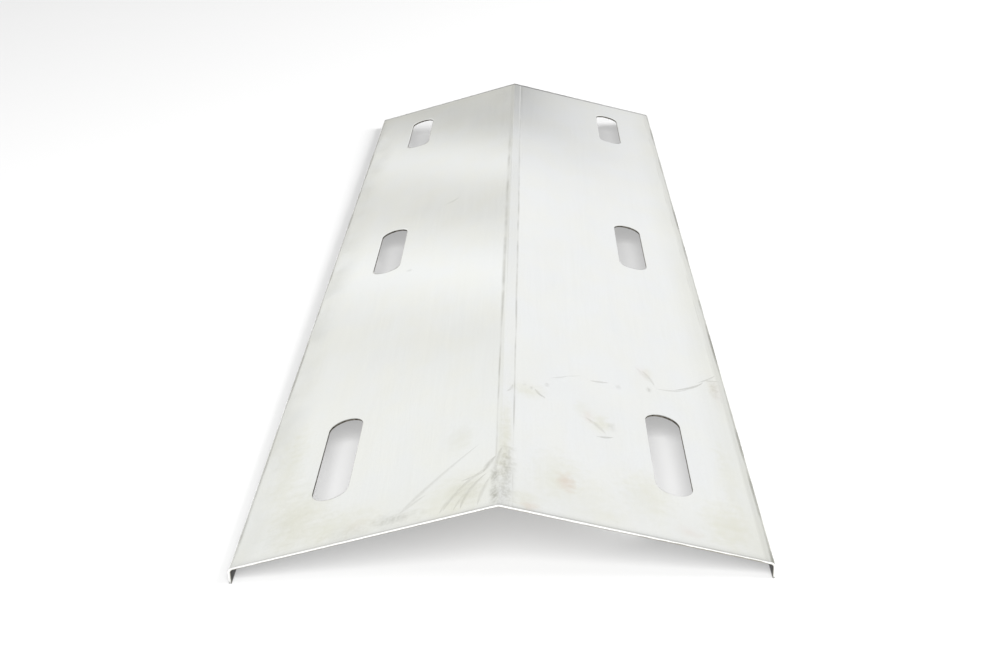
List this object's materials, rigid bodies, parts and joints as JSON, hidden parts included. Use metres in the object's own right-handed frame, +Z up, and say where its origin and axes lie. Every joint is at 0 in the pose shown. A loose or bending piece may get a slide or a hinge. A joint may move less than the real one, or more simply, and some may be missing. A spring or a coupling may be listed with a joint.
{
  "type": "grill heat plate",
  "caption": "Shallow tent-shaped stainless heat plate for a gas barbecue, folded from thin sheet, with round-ended heat slots and narrow turned-down edges.",
  "frame": {"origin": "middle of the footprint, on the plane that the lower edges of the two flanges rest on", "axes": "+X across the plate, +Y along the ridge, +Z up"},
  "size_m": [0.154, 0.457, 0.0252],
  "materials": {
    "stainless": "satin mill finish with a fine grain along the ridge, lightly scratched and heat-stained"
  },
  "bodies": {
    "root": {"heat_plate": "stainless"}
  },
  "joints": []
}
